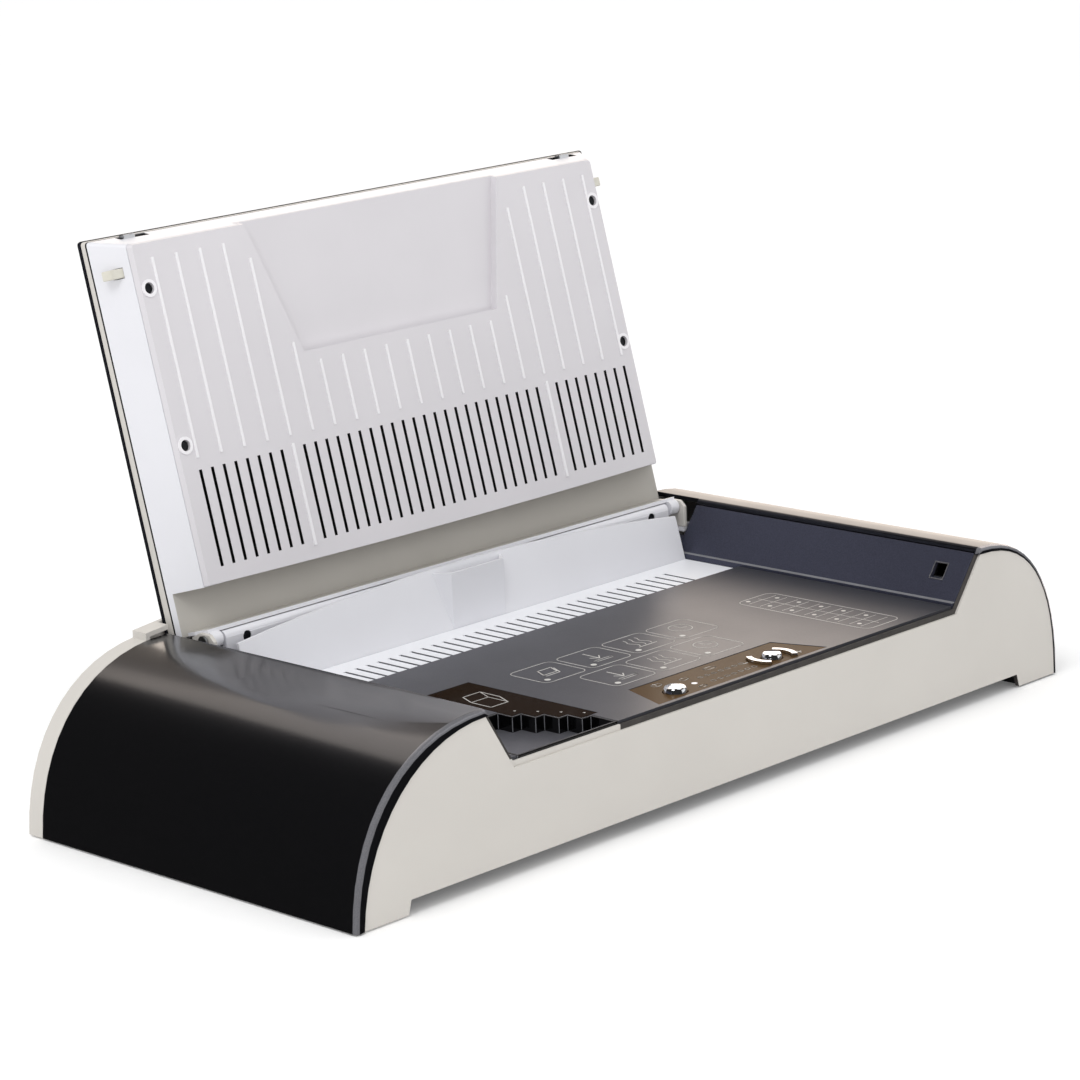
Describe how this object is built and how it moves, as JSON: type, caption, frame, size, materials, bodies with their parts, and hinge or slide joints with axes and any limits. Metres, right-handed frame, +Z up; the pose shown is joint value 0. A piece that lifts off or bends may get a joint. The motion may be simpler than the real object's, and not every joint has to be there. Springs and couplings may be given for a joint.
{
  "type": "thermal binding machine",
  "caption": "Desktop thermal binding machine with rounded ends, a heated channel for glued covers, a spine gauge, push-button controls and a hinged vented lid shown open.",
  "frame": {"origin": "under the middle of the machine on the surface it stands on, lid open", "axes": "+X to the right along the machine, -Y to the front, +Z up"},
  "size_m": [0.5316, 0.2854, 0.2844],
  "materials": {
    "panel": "fine-textured moulded plastic",
    "graphite": "satin dark graphite lacquer",
    "bluegrey": "satin dark blue-grey plastic",
    "deck": "satin grey overlay film",
    "white": "satin white plastic",
    "lidpanel": "satin pale grey plastic",
    "bronze": "gloss bronze-tinted acrylic",
    "chrome": "polished",
    "cream": "moulded acetal",
    "black": "moulded black plastic",
    "rubber": "moulded",
    "steel": "zinc-plated",
    "aluminium": "mill finish",
    "board": "solder-masked laminate",
    "mica": "mica sheet"
  },
  "bodies": {
    "base": {"bottom_pan": "black", "front_panel": "panel", "rear_panel": "panel", "end_shell_left": "graphite", "end_shell_right": "graphite", "cheek_left": "bluegrey", "cheek_right": "bluegrey", "strike_plate_left": "steel", "strike_plate_right": "steel", "deck_panel": "deck", "rubber_foot_1": "rubber", "rubber_foot_2": "rubber", "rubber_foot_3": "rubber", "rubber_foot_4": "rubber", "spine_gauge_tray": "black", "gauge_window": "bronze", "control_lens": "bronze", "button_carrier": "black", "light_guide": "white", "control_board": "board", "comb_strip": "white", "channel_carrier": "steel", "heater_plate": "aluminium", "heating_element": "mica", "heater_insulator": "mica", "thermostat": "aluminium", "thermal_fuse": "steel", "backrest_wall": "white", "document_sensor": "board", "hinge_rail": "white", "rail_screw_left": "steel", "rail_screw_right": "steel", "hinge_bracket_left": "panel", "hinge_bracket_right": "panel", "hinge_pin_left": "steel", "hinge_pin_right": "steel", "supply_board": "board", "transformer": "steel", "relay": "black", "capacitor": "black", "power_inlet": "black"},
    "lid": {"lid_frame": "white", "lid_inner_panel": "lidpanel", "lid_cover": "panel", "lid_skin": "graphite", "lid_screw_1": "steel", "lid_screw_2": "steel", "lid_screw_3": "steel", "lid_screw_4": "steel", "latch_guide_left": "black", "latch_guide_right": "black"},
    "bolt_left": {"latch_bolt_left": "cream", "latch_pad_left": "chrome"},
    "bolt_right": {"latch_bolt_right": "cream", "latch_pad_right": "chrome"},
    "power_key": {"power_button": "chrome"},
    "select_key": {"select_button": "chrome"},
    "less_key": {"less_button": "chrome"},
    "more_key": {"more_button": "chrome"}
  },
  "joints": [
    {"name": "lid_hinge", "type": "hinge", "parent": "base", "child": "lid", "pos_m": [0.01158, 0.06991, 0.083], "axis": [1, 0, 0], "range_deg": [0, 109.5]},
    {"name": "bolt_left_slide", "type": "slide", "parent": "lid", "child": "bolt_left", "axis": [1, 0, 0], "range_m": [0, 0.008], "stiffness_N_per_m": 250, "springref_m": -0.004},
    {"name": "bolt_right_slide", "type": "slide", "parent": "lid", "child": "bolt_right", "axis": [-1, 0, 0], "range_m": [0, 0.0049], "stiffness_N_per_m": 250, "springref_m": -0.004},
    {"name": "power_press", "type": "slide", "parent": "base", "child": "power_key", "axis": [0, 0, -1], "range_m": [0, 0.0012], "stiffness_N_per_m": 400, "springref_m": -0.001},
    {"name": "select_press", "type": "slide", "parent": "base", "child": "select_key", "axis": [0, 0, -1], "range_m": [0, 0.0012], "stiffness_N_per_m": 400, "springref_m": -0.001},
    {"name": "less_press", "type": "slide", "parent": "base", "child": "less_key", "axis": [0, 0, -1], "range_m": [0, 0.0012], "stiffness_N_per_m": 400, "springref_m": -0.001},
    {"name": "more_press", "type": "slide", "parent": "base", "child": "more_key", "axis": [0, 0, -1], "range_m": [0, 0.0012], "stiffness_N_per_m": 400, "springref_m": -0.001}
  ]
}
